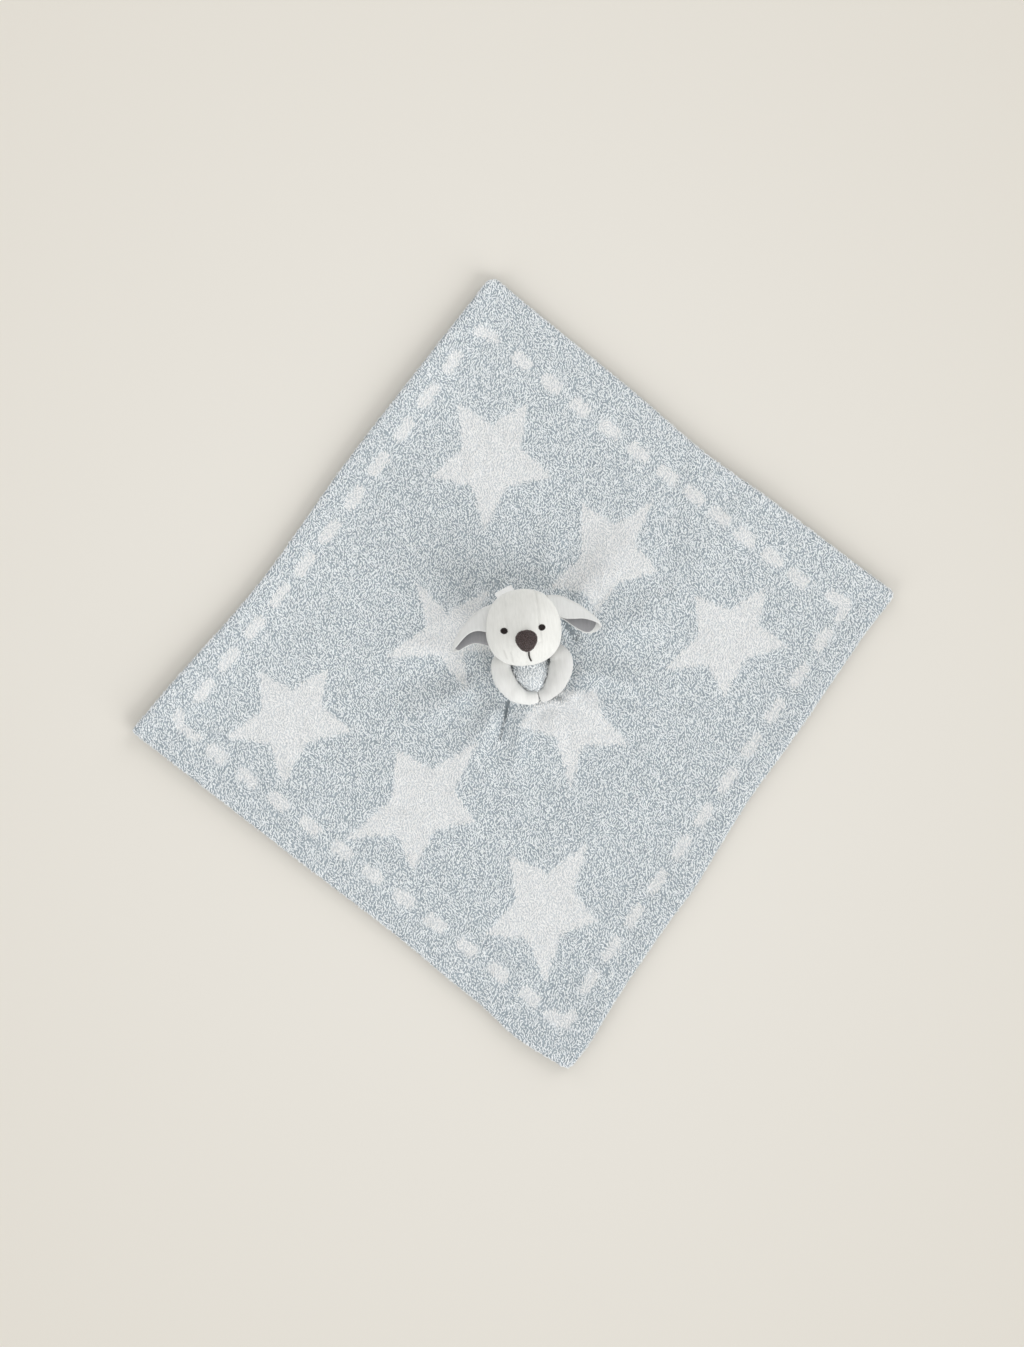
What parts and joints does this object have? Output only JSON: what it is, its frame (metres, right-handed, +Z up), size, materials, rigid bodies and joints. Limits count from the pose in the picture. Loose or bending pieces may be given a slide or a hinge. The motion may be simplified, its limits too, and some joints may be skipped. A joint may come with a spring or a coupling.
{
  "type": "comfort blanket lovey",
  "caption": "Soft knitted chenille comfort blanket laid flat on its point, with a small stuffed puppy's head, lined ears and hugging arms sewn to its gathered middle.",
  "frame": {"origin": "on the ground, under the middle of the laid blanket's box", "axes": "+Z up; +Y from the neck towards the crown of the puppy's head, along one diagonal of the blanket; +X towards the puppy's own left, along the other diagonal"},
  "size_m": [0.6814, 0.7018, 0.0716],
  "materials": {
    "chenille_knit": "deep matte chenille pile, pale blue-grey with off-white stars and dashes",
    "off_white_plush": "short matte velour plush",
    "grey_lining": "short matte velour, mid grey",
    "brown_nose_plush": "short matte plush, dark brown",
    "dark_embroidery": "satin-stitched thread",
    "sewing_thread": "matte twisted thread",
    "white_satin": "soft satin ribbon, blank",
    "polyester_filling": "loose white fibre"
  },
  "bodies": {
    "blanket": {"blanket_sheet": "chenille_knit"},
    "neck": {"neck_seam": "sewing_thread"},
    "head": {"head_gusset": "off_white_plush", "head_side_left": "off_white_plush", "head_side_right": "off_white_plush", "head_filling": "polyester_filling", "eye_left": "dark_embroidery", "eye_right": "dark_embroidery", "nose": "brown_nose_plush", "mouth_stitch": "dark_embroidery", "blank_label": "white_satin"},
    "ear_left": {"ear_left_outer": "off_white_plush", "ear_left_lining": "grey_lining"},
    "ear_right": {"ear_right_outer": "off_white_plush", "ear_right_lining": "grey_lining"},
    "arm_left": {"arm_left_upper_panel": "off_white_plush", "arm_left_lower_panel": "off_white_plush", "arm_left_filling": "polyester_filling"},
    "arm_right": {"arm_right_upper_panel": "off_white_plush", "arm_right_lower_panel": "off_white_plush", "arm_right_filling": "polyester_filling"}
  },
  "joints": [
    {"name": "head_nod", "type": "hinge", "parent": "blanket", "child": "neck", "pos_m": [0.01311, 0.00885, 0.02655], "axis": [1, 0, 0], "range_deg": [0, 60]},
    {"name": "head_turn", "type": "hinge", "parent": "neck", "child": "head", "pos_m": [0.01311, 0.01415, 0.01994], "axis": [0, 0.6695, 0.7428], "range_deg": [-15, 15]},
    {"name": "ear_left_flap", "type": "hinge", "parent": "head", "child": "ear_left", "pos_m": [0.04267, 0.05796, 0.04233], "axis": [0.4964, -0.8681, 0], "range_deg": [0, 50]},
    {"name": "ear_right_flap", "type": "hinge", "parent": "head", "child": "ear_right", "pos_m": [-0.01829, 0.05343, 0.04233], "axis": [0.3668, 0.9303, 0], "range_deg": [0, 50]},
    {"name": "arm_left_swing", "type": "hinge", "parent": "blanket", "child": "arm_left", "pos_m": [0.03363, 0.02453, 0.01046], "axis": [-0.4, 0, 0.9165], "range_deg": [0, 45]},
    {"name": "arm_right_swing", "type": "hinge", "parent": "blanket", "child": "arm_right", "pos_m": [-0.00471, 0.02123, 0.01046], "axis": [-0.4, 0, -0.9165], "range_deg": [0, 40]}
  ]
}
